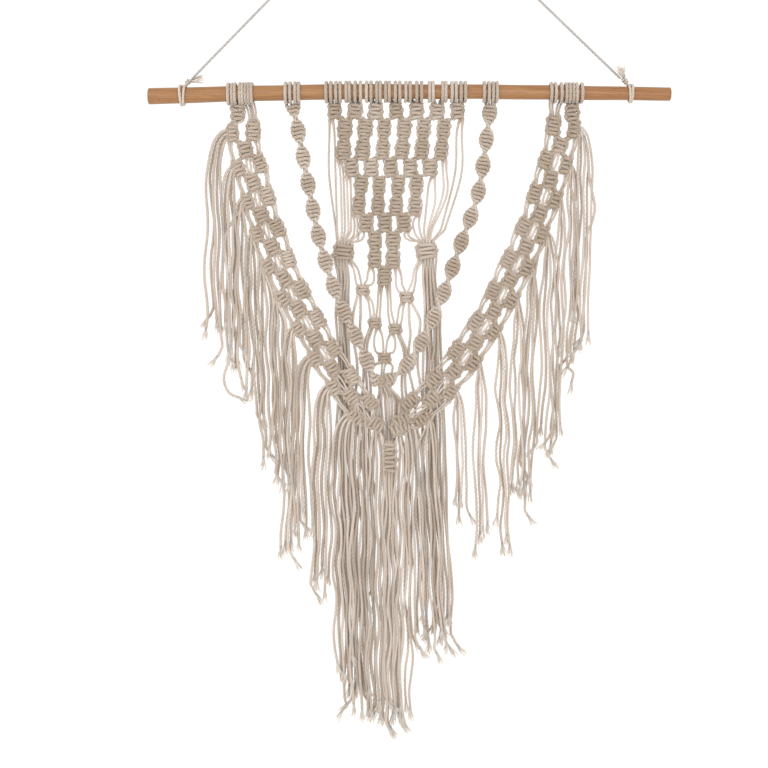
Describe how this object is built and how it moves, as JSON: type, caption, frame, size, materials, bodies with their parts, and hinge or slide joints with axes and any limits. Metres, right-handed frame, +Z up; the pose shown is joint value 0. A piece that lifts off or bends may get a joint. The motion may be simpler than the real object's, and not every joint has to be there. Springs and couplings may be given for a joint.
{
  "type": "macrame wall hanging with wooden rod",
  "caption": "Knotted cotton macrame hanging with a centre net, spirals, slanting bands and a long pointed fringe, tied on a wooden rod that hangs from a loop of cord.",
  "frame": {"origin": "top of the hanging loop, where it rests on its nail or hook", "axes": "+Z up, +X along the rod to the right as seen from the front, -Y out of the wall to the viewer; the wall is behind, at +Y"},
  "size_m": [0.4984, 0.0258, 0.8575],
  "materials": {
    "varnished_wood": "slim sanded stick with a thin satin varnish",
    "cotton_cord": "matt natural cotton, three-ply twist",
    "hanging_cord": "matt greyish cotton twine"
  },
  "bodies": {
    "root": {"rod": "varnished_wood", "hanger_left": "hanging_cord", "hanger_right": "hanging_cord", "hanger_loop": "hanging_cord", "tie_left": "hanging_cord", "tie_right": "hanging_cord", "net_panel": "cotton_cord", "spiral_left": "cotton_cord", "spiral_right": "cotton_cord", "band_left": "cotton_cord", "band_right": "cotton_cord", "centre_tassel": "cotton_cord"}
  },
  "joints": []
}
